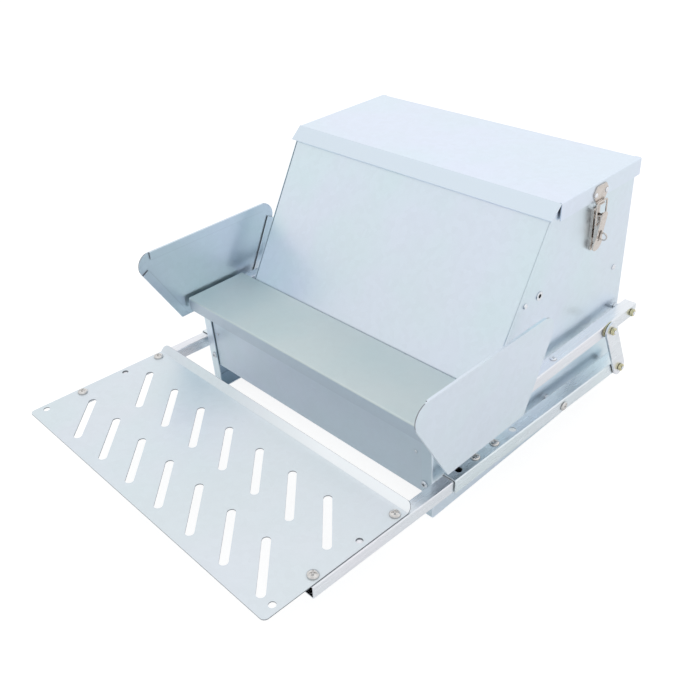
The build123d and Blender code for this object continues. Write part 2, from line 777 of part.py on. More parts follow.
def make_link_bolt(name, side, s, y, z, body_in):
    """A bolt through an arm or a lever and the link, with its outer nut."""
    link_out = LINK_IN + LINK_T
    with BuildPart() as bolt:
        disc(across(body_in, s, y, z), BOLT_HEAD_R, -BOLT_HEAD_H)
        disc(across(body_in, s, y, z), BOLT_R, link_out + GAP + NUT_H + BOLT_END - body_in)
    save(bolt, f"{name}_bolt_{side}")
    with BuildPart() as nut:
        hexagon(across(link_out + GAP, s, y, z), NUT_R, NUT_H, BOLT_R + FIT)
    save(nut, f"{name}_nut_{side}")


def make_link_washers(name, y, z, body_out, thickness):
    """Wide washers between an arm or a lever and its link, on both sides."""
    with BuildPart() as washers:
        for _, s in SIDES:
            ring(across(body_out, s, y, z), WASHER_R, thickness, BOLT_R + FIT)
    save(washers, f"{name}_washers")


# ---- cover, wings and levers ----
def make_cover():
    """The flat cover over the trough, with turned down edges in front and at the sides."""
    depth = COVER_REAR - COVER_FRONT
    with BuildPart() as cover:
        with BuildSketch(Plane.XY.offset(COVER_TOP - COVER_LIP)):
            with Locations((0, (COVER_FRONT + COVER_REAR) / 2)):
                Rectangle(2 * COVER_X, depth)
        extrude(amount=COVER_LIP)
        outer = cover.edges().group_by(Axis.Z)[-1].sort_by(Axis.Y)
        fillet(outer[0], BEND)
        with BuildSketch(Plane.XY.offset(COVER_TOP - COVER_LIP)):
            with Locations((0, (COVER_FRONT + COVER_REAR) / 2 + T)):
                Rectangle(2 * (COVER_X - T), depth)
        extrude(amount=COVER_LIP - T, mode=Mode.SUBTRACT)
        with BuildSketch(Plane.XY.offset(COVER_TOP - COVER_LIP)):
            with Locations((0, (COVER_FRONT + COVER_REAR) / 2 + 3 * T)):
                Rectangle(2 * COVER_X, depth)
        extrude(amount=COVER_LIP - COVER_SIDE_LIP, mode=Mode.SUBTRACT)
    save(cover, "trough_cover")


WING_CORNERS = ((-127.0, WING_TOP), (112.0, WING_TOP), (56.0, WING_BOTTOM), (-69.0, WING_BOTTOM))
WING_RADII = (18.0, 18.0, 2.0, 2.0)
HEM_SLIT = 0.6              # gap left inside a hem at its free edge
HEM_FOLD = 1.6              # width of the hem's solid fold
WING_TAB = (-48.0, 28.0)    # front and rear end of the tab that joins a wing to the cover
WING_TAB_IN = 220.3


def make_wing(side, s):
    """Side wing of the cover, with open hems along three edges and a tab under the cover's side."""
    front, rear, rear_low, front_low = (Vector(*corner) for corner in WING_CORNERS)
    with BuildPart() as wing:
        with BuildSketch(PROFILE.offset(s * WING_IN)):
            with BuildLine():
                FilletPolyline(*WING_CORNERS, radius=list(WING_RADII), close=True)
            make_face()
        extrude(amount=s * T)
        for start, end, trim in (
            (front, rear, (30, 27)),
            (rear, rear_low, (28, 4)),
            (front_low, front, (4, 31)),
        ):
            along = (end - start).normalized()
            inward = Vector(along.Y, -along.X)
            a = start + along * trim[0]
            b = end - along * trim[1]
            for edge, stand, mode in ((0, HEM_SLIT + T, Mode.ADD), (HEM_FOLD, HEM_SLIT, Mode.SUBTRACT)):
                reach = HEM + edge
                with BuildSketch(PROFILE.offset(s * WING_IN)) as strip:
                    with BuildLine():
                        Polyline(
                            a + inward * edge, b + inward * edge, b + inward * reach, a + inward * reach,
                            close=True,
                        )
                    make_face()
                extrude(strip.sketch, amount=-s * stand, mode=mode)
        # tab turned in under the cover's side
        tab_front, tab_rear = WING_TAB
        with BuildSketch(Plane.XY.offset(COVER_TOP - COVER_SIDE_LIP)) as tab:
            with Locations((s * (WING_TAB_IN + WING_IN) / 2, (tab_front + tab_rear) / 2)):
                Rectangle(WING_IN - WING_TAB_IN, tab_rear - tab_front)
        extrude(tab.sketch, amount=-T)
    save(wing, f"wing_{side}")


LEVER_SCREW_Y = 133.0
LEVER_WALL = 1.5


def make_lever(side, s):
    """Square tube lever under the cover's edge, running back to the upper pivot."""
    under = COVER_TOP - T
    with BuildPart() as lever:
        section = Plane(
            origin=(s * ARM_X, LEVER_FRONT, under - LEVER / 2), x_dir=(1, 0, 0), z_dir=(0, 1, 0)
        )
        with BuildSketch(section):
            RectangleRounded(LEVER, LEVER, 1.6)
            Rectangle(LEVER - 2 * LEVER_WALL, LEVER - 2 * LEVER_WALL, mode=Mode.SUBTRACT)
        extrude(amount=LEVER_REAR - LEVER_FRONT)
        inner, outer = ARM_X - LEVER / 2 - 1, ARM_X + LEVER / 2 + 1
        cross_hole(s, inner, outer, UPPER_Y, UPPER_Z, BOLT_R + RUN)
        cross_hole(s, inner, outer, LIFT_Y, LIFT_Z, BOLT_R + FIT)
        with BuildSketch(Plane.XY.offset(under)):
            with Locations((s * ARM_X, LEVER_SCREW_Y)):
                Circle(SCREW_R + FIT)
        extrude(amount=-2 * LEVER_WALL, mode=Mode.SUBTRACT)
    save(lever, f"lever_{side}")


def make_lever_screws():
    """One pan head screw on top of each lever, behind the wing."""
    with BuildPart() as screws:
        for _, s in SIDES:
            screw(Plane((s * ARM_X, LEVER_SCREW_Y, COVER_TOP - T)), 5.0, head=3.8)
    save(screws, "lever_screws")


def make_link(side, s):
    """Flat link bar between arm and lever, with a wide upper hole."""
    with BuildPart() as link:
        with BuildSketch(PROFILE.offset(s * LINK_IN)):
            with Locations((PUSH_Y, PUSH_Z), (LIFT_Y, LIFT_Z)):
                Circle(LINK_R)
            make_hull()
            with Locations((PUSH_Y, PUSH_Z)):
                Circle(BOLT_R + RUN, mode=Mode.SUBTRACT)
            with Locations((LIFT_Y, LIFT_Z)):
                Circle(OPEN_HOLE_R, mode=Mode.SUBTRACT)
        extrude(amount=s * LINK_T)
    save(link, f"link_{side}")


# ---- build ----
make_hopper_front()
make_rear_panel()
make_feed_chute()
make_trough_floor()
make_trough_front()
make_trough_screws()
make_lid()
make_treadle_plate()
make_plate_screws()
make_cover()
make_lever_screws()
make_link_washers("push", PUSH_Y, PUSH_Z, SLEEVE_OUT, 0.8)
make_link_washers("lift", LIFT_Y, LIFT_Z, ARM_X + LEVER / 2, T)
for side, s in SIDES:
    make_side_panel(side, s)
    make_side_rivets(side, s)
    make_upper_pivot(side, s)
    make_lower_pivot(side, s)
    make_catch(side, s)
    make_latch_base(side, s)
    make_latch_handle(side, s)
    make_bail(side, s)
    make_arm(side, s)
    make_joint_bolts(side, s)
    make_link_bolt("push", side, s, PUSH_Y, PUSH_Z, SLEEVE_IN)
    make_link_bolt("lift", side, s, LIFT_Y, LIFT_Z, ARM_X - LEVER / 2)
    make_wing(side, s)
    make_lever(side, s)
    make_link(side, s)
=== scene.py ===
import json
import math

import bmesh
import bpy
from mathutils import Matrix, Vector


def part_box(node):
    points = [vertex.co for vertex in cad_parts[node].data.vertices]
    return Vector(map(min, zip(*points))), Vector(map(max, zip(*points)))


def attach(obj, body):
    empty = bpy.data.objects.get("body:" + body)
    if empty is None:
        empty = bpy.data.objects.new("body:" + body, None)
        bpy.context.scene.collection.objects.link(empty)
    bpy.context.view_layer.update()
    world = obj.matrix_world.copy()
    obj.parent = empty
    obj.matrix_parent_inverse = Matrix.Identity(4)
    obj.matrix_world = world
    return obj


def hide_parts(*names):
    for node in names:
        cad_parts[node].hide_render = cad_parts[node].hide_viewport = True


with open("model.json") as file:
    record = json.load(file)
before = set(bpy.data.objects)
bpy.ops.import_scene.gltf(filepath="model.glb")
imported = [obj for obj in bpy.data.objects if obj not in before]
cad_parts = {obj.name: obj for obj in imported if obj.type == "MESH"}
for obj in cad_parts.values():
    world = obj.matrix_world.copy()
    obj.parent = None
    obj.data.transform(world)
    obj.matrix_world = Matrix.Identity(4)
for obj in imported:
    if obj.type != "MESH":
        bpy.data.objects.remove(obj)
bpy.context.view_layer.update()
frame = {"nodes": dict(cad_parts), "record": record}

# ---- sizes, in metres unless the name says otherwise ----
MM = 0.001
TILT_DEG = 2.555             # the treadle rises this much towards the front
ARM_X = 211.8 * MM           # middle of the arms and levers
SCREW_R = 2.2 * MM
RIVET_R = 1.6 * MM
BOLT_R = 2.5 * MM
THREAD_PITCH = 0.8 * MM
THREAD_DEPTH = 0.3 * MM
BOLT_HEAD_H = 3.0 * MM
NUT_H = 3.8 * MM
SPACER_R = 3.6 * MM
TUBE_BORE = 6.3 * MM         # half of the square bore of an arm tube
LEVER_BORE = 6.5 * MM
CREVICE_SHADE_REACH = 3.0 * MM           # how far the painted shade in a crevice reaches
SMALL_CREVICE_SHADE_REACH = 1.2 * MM     # the same on small hardware
HEAD_RISE = 0.52             # height of a screw head over its radius
HEX_CHAMFER = 0.6            # slope of the cone that rounds a hexagon's corners off
POINT_CHAMFER = 0.4 * MM     # at the end of a bolt

UP = Vector((0, 0, 1))
RIGHT = Vector((1, 0, 0))
FRONT = Vector((0, -1, 0))
DECK_UP = Vector((0, math.sin(math.radians(TILT_DEG)), math.cos(math.radians(TILT_DEG))))
NOSE_FACE = Vector((0, -0.651, 0.759))      # sloped front of the lid
LIP_FACE = Vector((0, -0.764, 0.645))       # front of the treadle's raised lip
SIDES = (("left", -1), ("right", 1))

record = frame["record"]
slots = {s["node"]: s["material_slot"] for s in record["subparts"]}
bodies = {node: body for body, nodes in record["behaviour"]["bodies"].items() for node in nodes}


# ---- camera ----
CAMERA_PLACE = (0.6191, -0.53735, 0.6577)
CAMERA_TURN_DEG = (48.02, 34.10, -4.27)      # yaw from +Y to the left, pitch down and roll
CAMERA_SENSOR_MM, CAMERA_LENS_MM = 36.0, 42.54
CAMERA_CLIP = (0.01, 20.0)


def make_camera():
    """The photo's viewpoint: from the front right and above."""
    yaw, pitch, roll = (math.radians(turn) for turn in CAMERA_TURN_DEG)
    forward = Vector((-math.sin(yaw) * math.cos(pitch), math.cos(yaw) * math.cos(pitch), -math.sin(pitch)))
    right = Vector((math.cos(yaw), math.sin(yaw), 0))
    up = right.cross(forward)
    x_axis = right * math.cos(roll) + up * math.sin(roll)
    y_axis = up * math.cos(roll) - right * math.sin(roll)
    turn = Matrix((x_axis, y_axis, -forward)).transposed().to_4x4()
    data = bpy.data.cameras.new("camera")
    data.sensor_width = CAMERA_SENSOR_MM
    data.lens = CAMERA_LENS_MM
    data.clip_start, data.clip_end = CAMERA_CLIP
    camera = bpy.data.objects.new("camera", data)
    camera.matrix_world = Matrix.Translation(CAMERA_PLACE) @ turn
    bpy.context.scene.collection.objects.link(camera)
    bpy.context.scene.camera = camera


# ---- colours ----
CLOUDS = ((0.730, 0.805, 0.905), (0.705, 0.825, 0.885), (0.725, 0.800, 0.865))
# lit and shaded copies of the same sheet: the lid is lighter, and the wing, cover, treadle and trough are
# darker, painted light and shade for how light falls on each piece
WING_SHADED_CLOUDS = ((0.725, 0.795, 0.885), (0.705, 0.815, 0.870), (0.720, 0.795, 0.855))
LID_LIT_CLOUDS = ((0.755, 0.820, 0.945), (0.735, 0.835, 0.925), (0.750, 0.815, 0.910))
# painted shade: darker colours for the lid's sloped nose and the cover's front lip
LID_NOSE_SHADE = (0.695, 0.785, 0.870)
COVER_LIP_SHADE = (0.555, 0.640, 0.715)
COVER_SHADED_CLOUDS = ((0.625, 0.705, 0.715), (0.590, 0.700, 0.715), (0.640, 0.690, 0.700))
TREADLE_SHADED_CLOUDS = ((0.705, 0.760, 0.820), (0.685, 0.770, 0.810), (0.715, 0.755, 0.795))
TROUGH_SHADED_CLOUDS = ((0.595, 0.680, 0.780), (0.575, 0.685, 0.760), (0.590, 0.670, 0.745))
TUBE_TINTS = ((0.88, 0.88, 0.93), (0.84, 0.88, 0.92))
SLEEVE_TINTS = ((0.82, 0.88, 0.93), (0.79, 0.88, 0.91))
TUBE_GRAIN = (0.44, 0.47, 0.50)


# ---- shader building ----
CREVICE_SAMPLES = 8
CREVICE_SHADE_AO = (0.35, 0.95)    # how closed in a point is at full painted shade and at none
FLAT = (0.965, 0.985)        # cosine to a sheet's own direction on its cut edge and on its flat side


class Shader:
    """A material being built: small helpers that add a node and return its output."""

    def __init__(self, name):
        self.material = bpy.data.materials.new(name)
        self.material.use_nodes = True
        self.tree = self.material.node_tree
        self.bsdf = self.tree.nodes["Principled BSDF"]
        self.place = self.tree.nodes.new("ShaderNodeTexCoord")
        self.point = self.place.outputs["Object"]
        self.normal = self.place.outputs["Normal"]

    def put(self, socket, value):
        """Link a node's output to a socket, or set a plain value on it."""
        if isinstance(value, bpy.types.NodeSocket):
            self.tree.links.new(value, socket)
        else:
            socket.default_value = value

    def math(self, operation, *values, clamp=False):
        node = self.tree.nodes.new("ShaderNodeMath")
        node.operation, node.use_clamp = operation, clamp
        for socket, value in zip(node.inputs, values):
            self.put(socket, value)
        return node.outputs[0]

    def vector(self, operation, a, b):
        node = self.tree.nodes.new("ShaderNodeVectorMath")
        node.operation = operation
        self.put(node.inputs[0], a)
        self.put(node.inputs[1], b)
        return node.outputs["Value" if operation in ("DOT_PRODUCT", "LENGTH") else "Vector"]

    def split(self, vector):
        node = self.tree.nodes.new("ShaderNodeSeparateXYZ")
        self.put(node.inputs[0], vector)
        return node.outputs

    def scaled(self, scale):
        return self.vector("MULTIPLY", self.point, scale)

    def noise(self, scale, detail=3.0, stretch=(1, 1, 1), roughness=0.5):
        node = self.tree.nodes.new("ShaderNodeTexNoise")
        self.put(node.inputs["Vector"], self.scaled(stretch))
        node.inputs["Scale"].default_value = scale
        node.inputs["Detail"].default_value = detail
        node.inputs["Roughness"].default_value = roughness
        return node.outputs[0]

    def cells(self, scale):
        """A random value for each cell of a crystal pattern."""
        node = self.tree.nodes.new("ShaderNodeTexVoronoi")
        self.put(node.inputs["Vector"], self.point)
        node.inputs["Scale"].default_value = scale
        return self.split(node.outputs["Color"])[0]

    def spread(self, value, low, high, out_low=0.0, out_high=1.0):
        """Stretch a value from one range to another, cut off at both ends."""
        node = self.tree.nodes.new("ShaderNodeMapRange")
        names = ("Value", "From Min", "From Max", "To Min", "To Max")
        for name, v in zip(names, (value, low, high, out_low, out_high)):
            self.put(node.inputs[name], v)
        return node.outputs[0]

    def mix(self, factor, a, b):
        node = self.tree.nodes.new("ShaderNodeMix")
        node.data_type = "RGBA"
        self.put(node.inputs["Factor"], factor)
        self.put(node.inputs["A"], (*a, 1) if isinstance(a, tuple) else a)
        self.put(node.inputs["B"], (*b, 1) if isinstance(b, tuple) else b)
        return node.outputs["Result"]

    def bump(self, height, strength, distance, after=None):
        node = self.tree.nodes.new("ShaderNodeBump")
        node.inputs["Strength"].default_value = strength
        node.inputs["Distance"].default_value = distance
        self.put(node.inputs["Height"], height)
        if after is not None:
            self.put(node.inputs["Normal"], after)
        return node.outputs["Normal"]

    def paint_crevice_shade(self, colour, depth, reach=CREVICE_SHADE_REACH):
        """Paint shade into a colour where other surfaces stand close: crevices, recesses and joints
        between parts are darkened as if in shadow.
        """
        node = self.tree.nodes.new("ShaderNodeAmbientOcclusion")
        node.samples = CREVICE_SAMPLES
        node.inputs["Distance"].default_value = reach
        open_sky = self.spread(node.outputs["AO"], *CREVICE_SHADE_AO)
        shaded = self.scale(colour, 1.0 - depth)
        return self.mix(open_sky, shaded, colour)

    def scale(self, colour, amount):
        node = self.tree.nodes.new("ShaderNodeVectorMath")
        node.operation = "SCALE"
        self.put(node.inputs[0], colour)
        self.put(node.inputs["Scale"], amount)
        return node.outputs["Vector"]

    def finish(self, colour, roughness, normal, metallic=1.0):
        self.bsdf.inputs["Metallic"].default_value = metallic
        self.put(self.bsdf.inputs["Base Color"], colour)
        self.put(self.bsdf.inputs["Roughness"], roughness)
        self.put(self.bsdf.inputs["Normal"], normal)
        return self.material


def flatness(shader, directions):
    """1 on faces that look along one of the directions, 0 on cut edges between them."""
    best = None
    for direction in directions:
        facing = shader.vector("DOT_PRODUCT", shader.normal, tuple(direction))
        best = facing if best is None else shader.math("MAXIMUM", best, facing)
    return shader.spread(best, *FLAT)


# patterns, in waves or cells per metre
CLOUD_SCALE = 11.0
DRIFT_SCALE = 5.0
SPANGLE_SCALE = 150.0
FINE_SCALE = 1400.0
MARK_SCALE = 60.0
SWELL_SCALE = 9.0
GRAIN_SCALE = 900.0
SCUFF_SCALE = 140.0
STAIN_SCALE = 14.0
PATINA_SCALE = 260.0
POLISH_SCALE = 2600.0

SPANGLE = 0.03               # how much the crystals of the zinc differ in brightness
CUT_EDGE_DULL_AND_SHADE = (0.34, 0.36, 0.39)
PAINTED_HIGHLIGHT_COLOUR = (0.93, 0.97, 1.0)
PAINTED_BORE_SHADE = (0.03, 0.03, 0.035)


def galvanised(name, tints, roughness=0.3, faces=None, painted_highlight=None, painted_face_shade=None):
    """Rolled galvanised sheet: cloudy pale tints, faint spangle and soft waviness.

    Faces are the directions of its flat sides, between which the cut edges are dull bare steel, painted
    darker as shade as well. A face along the painted-shade direction has a darker colour of its own,
    painted shade for how light falls on that side, and a face along the painted-highlight direction
    brightens to the right within a reach, a painted highlight.
    """
    shader = Shader(name)
    cloud = shader.spread(shader.noise(CLOUD_SCALE, detail=2.0), 0.38, 0.62)
    drift = shader.spread(shader.noise(DRIFT_SCALE, detail=1.0), 0.35, 0.65)
    colour = shader.mix(cloud, tints[0], tints[1])
    colour = shader.mix(shader.math("MULTIPLY", drift, 0.5), colour, tints[2])
    grain = shader.cells(SPANGLE_SCALE)
    fine = shader.noise(FINE_SCALE, detail=2.0)
    light = shader.math("ADD", shader.math("MULTIPLY", grain, SPANGLE), 1.0 - SPANGLE / 2)
    light = shader.math("MULTIPLY", light, shader.spread(fine, 0.2, 0.8, 0.985, 1.015))
    marks = shader.noise(MARK_SCALE, detail=6.0, stretch=(1, 1, 0.4), roughness=0.7)
    marks = shader.spread(marks, 0.66, 0.74)
    light = shader.math("MULTIPLY", light, shader.spread(marks, 0, 1, 1.0, 0.975))
    colour = shader.scale(colour, light)
    rough = shader.spread(grain, 0, 1, -0.025, 0.025)
    rough = shader.math("ADD", rough, shader.spread(cloud, 0, 1, 0, 0.03))
    rough = shader.math("ADD", rough, roughness)
    if faces:
        # cut edges: dull bare steel, and painted darker as shade
        flat = flatness(shader, faces)
        colour = shader.mix(flat, CUT_EDGE_DULL_AND_SHADE, colour)
        rough = shader.math("ADD", rough, shader.spread(flat, 0, 1, 0.3, 0.0))
    # painted shade: faces along one direction take a darker colour of their own, for how light falls on
    # that side
    if painted_face_shade:
        direction, tint = painted_face_shade
        colour = shader.mix(flatness(shader, (direction,)), colour, tint)
    # painted highlight: the face brightens towards the right, a reflection painted into the colour
    if painted_highlight:
        direction, reach = painted_highlight
        highlight_mask = shader.spread(shader.split(shader.point)[0], -0.6 * reach, 0.8 * reach)
        highlight_mask = shader.math("MULTIPLY", highlight_mask, flatness(shader, (direction,)))
        colour = shader.mix(highlight_mask, colour, PAINTED_HIGHLIGHT_COLOUR)
    normal = shader.bump(shader.noise(SWELL_SCALE, detail=1.0), 0.35, 0.6 * MM)
    normal = shader.bump(fine, 0.05, 0.03 * MM, after=normal)
    # painted shade: crevices darken the sheet's colour
    return shader.finish(shader.paint_crevice_shade(colour, 0.25), rough, normal)


def brushed(name, tints, dark=TUBE_GRAIN, roughness=0.3, bore=None):
    """Zinc plate over drawn tube: grain along Y, small pits and scuffs, and painted shade inside a bore,
    coloured near black.
    """
    shader = Shader(name)
    grain = shader.noise(GRAIN_SCALE, detail=2.0, stretch=(1.0, 0.02, 1.0))
    scuff = shader.noise(SCUFF_SCALE, detail=5.0, stretch=(1.0, 0.25, 1.0), roughness=0.75)
    pits = shader.spread(scuff, 0.60, 0.70)
    stain = shader.spread(shader.noise(STAIN_SCALE, detail=2.0), 0.35, 0.65)
    colour = shader.mix(stain, tints[0], tints[1])
    colour = shader.mix(shader.spread(grain, 0.3, 0.75, 0.0, 0.22), colour, dark)
    colour = shader.mix(shader.math("MULTIPLY", pits, 0.35), colour, dark)
    rough = shader.math("ADD", shader.spread(grain, 0.2, 0.8, -0.06, 0.06), roughness)
    rough = shader.math("ADD", rough, shader.math("MULTIPLY", pits, 0.12))
    # painted shade: inside the square bore the colour is set near black, as if in shadow
    if bore:
        axis, middle, half = bore
        sideways = shader.math("SUBTRACT", shader.math("ABSOLUTE", shader.split(shader.point)[0]), ARM_X)
        upwards = shader.math("SUBTRACT", shader.vector("DOT_PRODUCT", shader.point, tuple(axis)), middle)
        sideways, upwards = (shader.math("ABSOLUTE", distance) for distance in (sideways, upwards))
        inside = shader.math("LESS_THAN", shader.math("MAXIMUM", sideways, upwards), half)
        colour = shader.mix(inside, colour, PAINTED_BORE_SHADE)
        rough = shader.math("ADD", rough, shader.math("MULTIPLY", inside, 0.4))
    normal = shader.bump(grain, 0.10, 0.05 * MM)
    normal = shader.bump(pits, -0.15, 0.05 * MM, after=normal)
    # painted shade: crevices darken the tube's colour
    return shader.finish(shader.paint_crevice_shade(colour, 0.5), rough, normal)


def plated(name, tint, shade, roughness=0.2, patina=0.5):
    """Bright plating on small hardware, a little uneven in colour and gloss, dull where worn."""
    shader = Shader(name)
    uneven = shader.spread(shader.noise(PATINA_SCALE, detail=4.0, roughness=0.6), 0.35, 0.68)
    fine = shader.noise(POLISH_SCALE, detail=2.0)
    colour = shader.mix(shader.math("MULTIPLY", uneven, patina), tint, shade)
    rough = shader.math("ADD", shader.spread(uneven, 0, 1, -0.05, 0.1), roughness)
    normal = shader.bump(fine, 0.12, 0.02 * MM)
    normal = shader.bump(uneven, 0.08, 0.1 * MM, after=normal)
    # painted shade: crevices darken the plating's colour
    return shader.finish(shader.paint_crevice_shade(colour, 0.5, reach=SMALL_CREVICE_SHADE_REACH), rough, normal)


# ---- solids read from the frame ----
def loose_solids(node, axis):
    """Each separate solid of a CAD node, measured along an axis."""
    mesh = frame["nodes"][node].data
    keys = [tuple(round(c / (0.01 * MM)) for c in v.co) for v in mesh.vertices]
    parent = {k: k for k in keys}

    def root(k):
        while parent[k] != k:
            parent[k] = parent[parent[k]]
            k = parent[k]
        return k

    for polygon in mesh.polygons:
        first = root(keys[polygon.vertices[0]])
        for v in polygon.vertices[1:]:
            parent[root(keys[v])] = first
            first = root(first)
    groups = {}
    for k, v in zip(keys, mesh.vertices):
        groups.setdefault(root(k), []).append(v.co.copy())
    solids = []
    side = axis.orthogonal().normalized()
    other = axis.cross(side)
    for points in groups.values():
        spans = []
        for direction in (side, other, axis):
            along = [p.dot(direction) for p in points]
            spans.append((min(along), max(along)))
        middle = side * sum(spans[0]) / 2 + other * sum(spans[1]) / 2
        radius = max((p - middle - axis * p.dot(axis)).length for p in points)
        solids.append({"middle": middle, "low": spans[2][0], "high": spans[2][1], "radius": radius})
    return sorted(solids, key=lambda solid: tuple(round(c, 4) for c in solid["middle"]))


# ---- turned pieces ----
SEGMENTS = 48
SHARP_DEG = 35.0             # folds of a mesh that are sharper than this stay crisp


def lathe(bm, origin, axis, rings, closed=False, shape=None):
    """Turn rings of (radius, height) round an axis. A shape changes each point's radius and height."""
    side = axis.orthogonal().normalized()
    other = axis.cross(side)
    rows = []
    for radius, height in rings:
        count = 1 if radius == 0 else SEGMENTS
        row = []
        for i in range(count):
            turn = 2 * math.pi * i / SEGMENTS
            r, h = shape(radius, height, turn) if shape else (radius, height)
            across = side * r * math.cos(turn) + other * r * math.sin(turn)
            row.append(bm.verts.new(origin + across + axis * h))
        rows.append(row)
    pairs = list(zip(rows, rows[1:]))
    if closed:
        pairs.append((rows[-1], rows[0]))
    for a, b in pairs:
        for i in range(SEGMENTS):
            j = (i + 1) % SEGMENTS
            corners = [a[i % len(a)], a[j % len(a)], b[j % len(b)], b[i % len(b)]]
            corners = list(dict.fromkeys(corners))
            if len(corners) > 2:
                bm.faces.new(corners)


def finish_piece(bm, name, node, replaced=()):
    """Turn a bmesh into a smooth piece that stands for a CAD node."""
    bmesh.ops.recalc_face_normals(bm, faces=bm.faces)
    mesh = bpy.data.meshes.new(name)
    bm.to_mesh(mesh)
    bm.free()
    mesh.shade_smooth()
    mesh.set_sharp_from_angle(angle=math.radians(SHARP_DEG))
    piece = bpy.data.objects.new(name, mesh)
    piece.data.materials.append(finish_of(node))
    bpy.context.scene.collection.objects.link(piece)
    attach(piece, bodies[node])
    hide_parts(node, *replaced)
    return piece


def dome(radius, rise, steps):
    """Rings of a rounded head from its middle to its rim."""
    rim = 0.3 * rise
    rings = [(0, rise)]
    for i in range(1, steps + 1):
        part = i / steps
        rings.append((radius * part, rim + (rise - rim) * (1 - part**3.0) ** 0.6 if part < 1 else rim))
    return rings


def cross_recess(radius, depth):
    """A Phillips recess pressed into the middle of a head."""
    arm, half = 0.58 * radius, 0.13 * radius

    def shape(r, h, turn):
        x, y = abs(r * math.cos(turn)), abs(r * math.sin(turn))
        edge = 0.05 * radius
        along, across = max(x, y), min(x, y)
        inside = min(1, max(0, (arm - along) / edge + 0.5)) * min(1, max(0, (half - across) / edge + 0.5))
        slope = 1 - 0.55 * along / arm
        return r, h - depth * inside * max(0, slope)

    return shape


def add_screw(bm, solid, axis, shank, recess=True):
    radius = solid["radius"]
    rise = HEAD_RISE * radius
    length = solid["high"] - solid["low"] - rise
    origin = solid["middle"] + axis * (solid["high"] - rise)
    rings = dome(radius, rise, 26 if recess else 10)
    rings += [(radius, 0), (shank, 0), (shank, -length), (0, -length)]
    lathe(bm, origin, axis, rings, shape=cross_recess(radius, 0.55 * rise) if recess else None)


def make_screws(node, axis, shank=SCREW_R, recess=True):
    bm = bmesh.new()
    for solid in loose_solids(node, axis):
        add_screw(bm, solid, axis, shank, recess)
    finish_piece(bm, f"turned_{node}", node)


def hexagonal(apothem, low, high, chamfer):
    """Hexagon whose corners are cut off by a cone at both ends."""
    def shape(r, h, turn):
        if r < 0.8 * apothem:
            return r, h
        corner = apothem / math.cos((turn % (math.pi / 3)) - math.pi / 6)
        cone = apothem * 0.97 + min(h - low, high - h) / chamfer
        return min(corner, cone), h
    return shape


def nut_rings(outer, low, high, bore):
    steps = 5
    cut = 0.22 * (high - low)
    rings = [(bore, low)]
    rings += [(outer, low + cut * i / steps) for i in range(steps + 1)]
    rings += [(outer, high - cut + cut * i / steps) for i in range(steps + 1)]
    return rings + [(bore, high)]


def add_nut(bm, solid, axis, low=None):
    """A nut that fills a solid, or only its part above a height."""
    low = solid["low"] if low is None else low
    high, radius = solid["high"], solid["radius"]
    shape = hexagonal(radius * math.cos(math.pi / 6), low, high, HEX_CHAMFER)
    lathe(bm, solid["middle"], axis, nut_rings(radius, low, high, BOLT_R), closed=True, shape=shape)


def make_nuts(node, axis):
    bm = bmesh.new()
    for solid in loose_solids(node, axis):
        add_nut(bm, solid, axis)
    finish_piece(bm, f"turned_{node}", node)


def make_spacer(node, axis):
    """A short tube with the nut beside the lever or arm, and for the lower pivot also a nut inside."""
    bm = bmesh.new()
    solids = sorted(loose_solids(node, axis), key=lambda solid: solid["high"])
    outer = solids[-1]
    start = outer["high"] - NUT_H
    add_nut(bm, outer, axis, low=start)
    low = outer["low"]
    rings = [(BOLT_R, low), (SPACER_R, low), (SPACER_R, start), (BOLT_R, start)]
    lathe(bm, outer["middle"], axis, rings, closed=True)
    for solid in solids[:-1]:
        add_nut(bm, solid, axis)
    finish_piece(bm, f"turned_{node}", node)


def thread(radius, low, high):
    """A helical thread between two heights, running out at both ends."""
    def shape(r, h, turn):
        if r < 0.5 * radius or h <= low or h >= high:
            return r, h
        phase = (h / THREAD_PITCH + turn / (2 * math.pi)) % 1
        fade = min(1, (h - low) / THREAD_PITCH, (high - h) / THREAD_PITCH)
        return r - THREAD_DEPTH * fade * (1 - abs(2 * phase - 1)), h
    return shape


def make_bolt(node, axis, pan_head=False):
    """A bolt with its head at one end, a threaded shank and a chamfered point."""
    solid = loose_solids(node, axis)[0]
    bm = bmesh.new()
    low, high = solid["low"], solid["high"]
    head = solid["radius"]
    if pan_head:
        rise = HEAD_RISE * head
        lathe(bm, solid["middle"] + axis * (high - rise), axis,
              dome(head, rise, 26) + [(head, 0), (0, 0)], shape=cross_recess(head, 0.55 * rise))
        point, start = low, high - rise
    else:
        start, point = low + BOLT_HEAD_H, high
        shape = hexagonal(head * math.cos(math.pi / 6), low, start, HEX_CHAMFER)
        rings = [(0, low)] + nut_rings(head, low, start, 0.5 * head)[1:-1] + [(0, start)]
        lathe(bm, solid["middle"], axis, rings, shape=shape)
    first, last = sorted((point, start))
    end = POINT_CHAMFER
    steps = int((last - first - end) / (THREAD_PITCH / 6))
    span = [first + end + (last - first - end) * i / steps for i in range(steps + 1)]
    if point > start:
        span = [last - (h - first) for h in span][::-1]
    rings = [(BOLT_R, h) for h in span]
    tip = (BOLT_R - end, point)
    if point == first:
        rings = [(0, point), tip] + rings + [(0, last)]
    else:
        rings = [(0, first)] + rings + [tip, (0, point)]
    lathe(bm, solid["middle"], axis, rings, shape=thread(BOLT_R, span[0], span[-1]))
    finish_piece(bm, f"turned_{node}", node)


# ---- finishes ----
REAR_RUN, FRONT_RUN = 56.0 * MM, 58.0 * MM       # how far a wing's slanted edges run along Y
PAINTED_HIGHLIGHT_REACH = 120.0 * MM
FOLD_STEPS = 5


